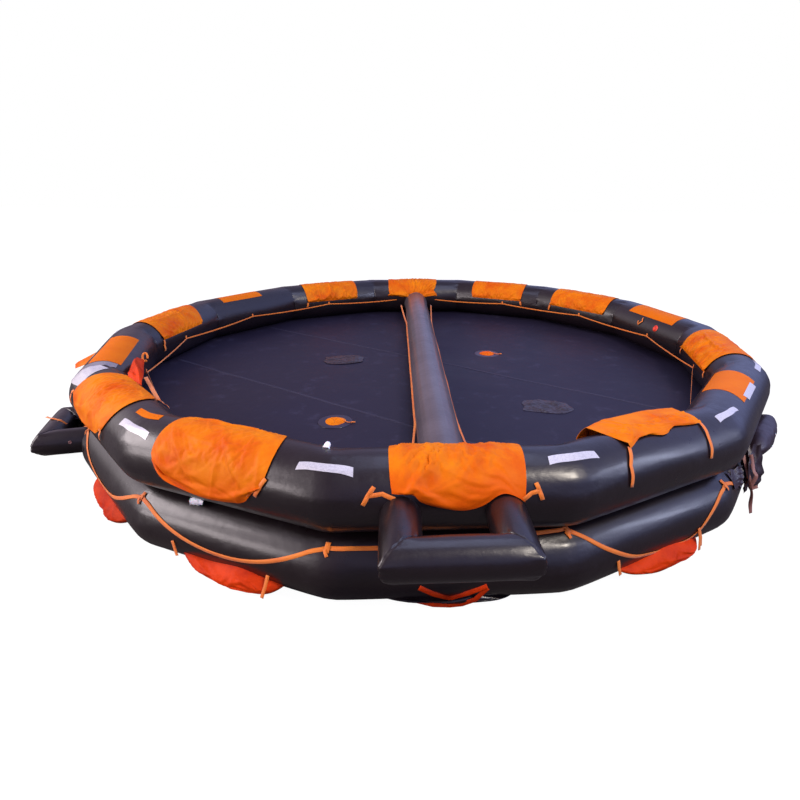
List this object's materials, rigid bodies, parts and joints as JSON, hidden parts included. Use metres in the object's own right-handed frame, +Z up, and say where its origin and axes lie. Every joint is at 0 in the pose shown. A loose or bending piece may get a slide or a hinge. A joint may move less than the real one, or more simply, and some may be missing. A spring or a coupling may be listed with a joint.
{
  "type": "open reversible inflatable life raft",
  "caption": "Open reversible inflatable life raft with stacked ring tubes, a floor between them, a thwart, boarding ramps, draped ballast pockets and webbing lifelines.",
  "frame": {"origin": "middle of the raft's footprint, boarding ramps included, on the surface that it stands on", "axes": "+Z up, -Y towards the front boarding ramp, the thwart along Y"},
  "size_m": [6.2474, 6.2307, 0.8822],
  "materials": {
    "tube_fabric": "satin black rubber-coated fabric with a slight purple cast",
    "floor_fabric": "dark navy coated floor fabric, satin",
    "pocket_fabric": "bright orange woven nylon, wrinkled",
    "panel_fabric": "orange coated marking fabric, satin",
    "webbing": "orange woven webbing",
    "drain_fabric": "orange gathered nylon on a clear patch ring",
    "white_plastic": "white moulded plastic",
    "valve_plastic": "orange-red moulded plastic"
  },
  "bodies": {
    "root": {"upper_tube": "tube_fabric", "lower_tube": "tube_fabric", "thwart": "tube_fabric", "front_boarding_ramp": "tube_fabric", "left_boarding_ramp": "tube_fabric", "drain_sleeve_left": "tube_fabric", "drain_sleeve_right": "tube_fabric", "gas_cylinder": "tube_fabric", "floor": "floor_fabric", "top_pocket_00": "pocket_fabric", "bottom_pocket_00": "pocket_fabric", "top_pocket_01": "pocket_fabric", "bottom_pocket_01": "pocket_fabric", "top_pocket_03": "pocket_fabric", "bottom_pocket_03": "pocket_fabric", "top_pocket_05": "pocket_fabric", "bottom_pocket_05": "pocket_fabric", "top_pocket_06": "pocket_fabric", "bottom_pocket_06": "pocket_fabric", "top_pocket_07": "pocket_fabric", "bottom_pocket_07": "pocket_fabric", "top_pocket_08": "pocket_fabric", "bottom_pocket_08": "pocket_fabric", "top_pocket_10": "pocket_fabric", "bottom_pocket_10": "pocket_fabric", "top_pocket_12": "pocket_fabric", "bottom_pocket_12": "pocket_fabric", "top_pocket_13": "pocket_fabric", "bottom_pocket_13": "pocket_fabric", "marking_panel_02": "panel_fabric", "marking_panel_04": "panel_fabric", "marking_panel_09": "panel_fabric", "marking_panel_11": "panel_fabric", "outer_lifeline": "webbing", "inner_lifeline_left": "webbing", "inner_lifeline_right": "webbing", "thwart_line_left": "webbing", "thwart_line_right": "webbing", "floor_drain_left": "drain_fabric", "floor_drain_right": "drain_fabric", "position_light": "white_plastic", "light_battery": "white_plastic", "topping_up_valve": "valve_plastic"}
  },
  "joints": []
}
